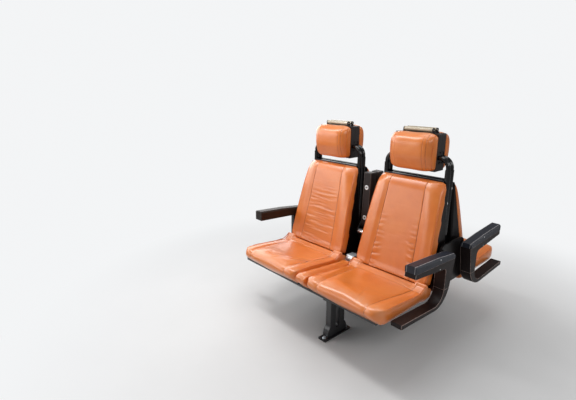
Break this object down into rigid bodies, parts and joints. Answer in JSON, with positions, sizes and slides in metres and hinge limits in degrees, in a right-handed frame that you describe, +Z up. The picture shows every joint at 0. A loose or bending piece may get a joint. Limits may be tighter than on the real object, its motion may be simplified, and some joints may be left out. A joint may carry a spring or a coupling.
{
  "type": "back-to-back railway coach seat unit",
  "caption": "Back-to-back pairs of leather coach seats on pedestals, with drum headrests on bent tubes, curved aisle arm bands and folding middle armrests.",
  "frame": {"origin": "on the floor at the middle of the line of floor bolts, between the two feet", "axes": "+X to the aisle, -Y the way the front seats face, +Z up"},
  "size_m": [1.277, 1.3364, 1.2615],
  "materials": {
    "leather": "tan orange leather, semi gloss, worn",
    "black_shell": "gloss black moulded shell",
    "box_plastic": "satin black moulding",
    "black_gloss": "gloss black enamel on tube",
    "clear_metal": "polished drum with a pale blank card",
    "brown_black": "dark brown satin enamel, worn on the edges",
    "arm_plastic": "dark grey grained plastic",
    "arm_brown": "dark brown grained plastic",
    "frame_black": "black paint",
    "pedestal_black": "black paint, scuffed",
    "rail_steel": "blue grey gloss enamel, worn along the front edge",
    "bright_metal": "polished pressed steel"
  },
  "bodies": {
    "root": {"aisle_band_front": "brown_black", "aisle_band_rear": "brown_black", "arm_pad_front": "arm_plastic", "arm_pad_rear": "arm_plastic", "armrest_hinge": "frame_black", "armrest_stops": "bright_metal", "back_shell_front_aisle": "black_shell", "back_shell_front_window": "black_shell", "back_shell_rear_aisle": "black_shell", "back_shell_rear_window": "black_shell", "backrest_pad_front_aisle": "leather", "backrest_pad_front_window": "leather", "backrest_pad_rear_aisle": "leather", "backrest_pad_rear_window": "leather", "card_drum_front_aisle": "clear_metal", "card_drum_front_window": "clear_metal", "card_drum_rear_aisle": "clear_metal", "card_drum_rear_window": "clear_metal", "card_stand_aisle": "box_plastic", "card_stand_window": "box_plastic", "cross_bars_front": "frame_black", "cross_bars_rear": "frame_black", "filler_cushion_front": "leather", "filler_cushion_rear": "leather", "foot_rail": "frame_black", "headrest_bow_front_aisle": "black_gloss", "headrest_bow_front_window": "black_gloss", "headrest_bow_rear_aisle": "black_gloss", "headrest_bow_rear_window": "black_gloss", "headrest_box_front_aisle": "box_plastic", "headrest_box_front_window": "box_plastic", "headrest_box_rear_aisle": "box_plastic", "headrest_box_rear_window": "box_plastic", "headrest_pad_front_aisle": "leather", "headrest_pad_front_window": "leather", "headrest_pad_rear_aisle": "leather", "headrest_pad_rear_window": "leather", "metal_box_front": "bright_metal", "metal_box_rear": "bright_metal", "pedestal_front": "pedestal_black", "pedestal_rear": "pedestal_black", "seat_cushion_front_aisle": "leather", "seat_cushion_front_window": "leather", "seat_cushion_rear_aisle": "leather", "seat_cushion_rear_window": "leather", "seat_pan_front": "frame_black", "seat_pan_rear": "frame_black", "side_cover_aisle": "black_shell", "side_cover_window": "black_shell", "spine_beam": "frame_black", "spine_hangers": "frame_black", "top_rails": "rail_steel", "wall_bracket_front": "frame_black", "wall_bracket_rear": "frame_black", "window_arm_bracket_front": "frame_black", "window_arm_bracket_rear": "frame_black", "window_arm_front": "arm_brown", "window_arm_rear": "arm_brown"},
    "front_armrest": {"middle_armrest_front": "arm_brown"},
    "rear_armrest": {"middle_armrest_rear": "arm_brown"}
  },
  "joints": [
    {"name": "front_armrest_fold", "type": "hinge", "parent": "root", "child": "front_armrest", "pos_m": [-0.094, -0.048, 0.612], "axis": [1, 0, 0], "range_deg": [0, 92]},
    {"name": "rear_armrest_fold", "type": "hinge", "parent": "root", "child": "rear_armrest", "pos_m": [-0.094, 0.048, 0.612], "axis": [-1, 0, 0], "range_deg": [0, 92]}
  ]
}
